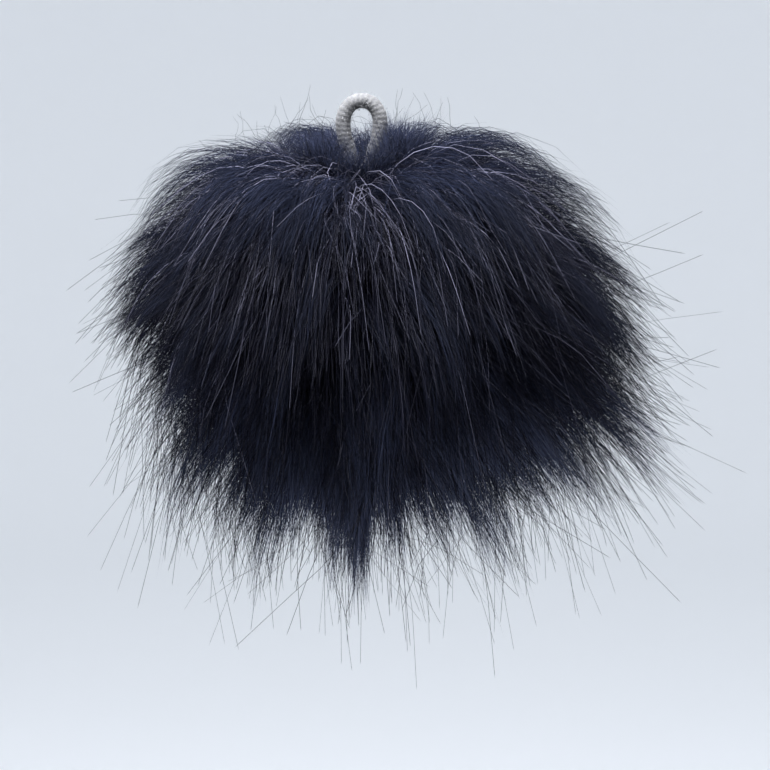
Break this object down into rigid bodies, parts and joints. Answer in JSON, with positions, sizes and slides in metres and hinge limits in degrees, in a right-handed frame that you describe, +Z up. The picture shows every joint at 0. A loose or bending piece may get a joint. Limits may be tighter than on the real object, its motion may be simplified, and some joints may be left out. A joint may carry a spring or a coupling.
{
  "type": "fur pompom",
  "caption": "Round fur pompom on a short elastic cord loop: long guard hair falls from a gathered crown over a stuffed ball that swings below the loop.",
  "frame": {"origin": "the hang point: the inside top of the loop's eye, where a hook or button carries the pompom", "axes": "+Z up along the loop, +X right in the plane of the loop, +Y away from the front"},
  "size_m": [0.1182, 0.1182, 0.107],
  "materials": {
    "braid": "white braided polyester cover, fine cross ribs",
    "rubber_core": "natural latex, matt",
    "thread": "dark navy polyester sewing thread, twisted",
    "skin": "dark knitted pelt backing",
    "filling": "white polyester fibre",
    "underfur": "dense matt navy underfur",
    "guard_hair": "long glossy blue-black guard hair"
  },
  "bodies": {
    "loop": {"loop_sheath": "braid", "loop_core": "rubber_core"},
    "whipping": {"thread_whipping": "thread"},
    "anchor": {"anchor_stitches": "thread"},
    "ball": {"pelt_backing": "skin", "gather_thread": "thread", "gather_knot": "thread", "loop_knot": "braid", "stuffing": "filling", "underfur": "underfur", "guard_hair": "guard_hair"}
  },
  "joints": [
    {"name": "elastic_stretch", "type": "slide", "parent": "loop", "child": "whipping", "axis": [0, 0, -1], "range_m": [0, 0.012], "stiffness_N_per_m": 900, "springref_m": -0.00033, "deforming": ["loop_sheath", "loop_core"]},
    {"name": "swing_sideways", "type": "hinge", "parent": "whipping", "child": "anchor", "pos_m": [0, 0, -0.0175], "axis": [0, 1, 0], "range_deg": [-30, 30]},
    {"name": "swing_fore_aft", "type": "hinge", "parent": "anchor", "child": "ball", "pos_m": [0, 0, -0.0175], "axis": [1, 0, 0], "range_deg": [-30, 30]}
  ]
}
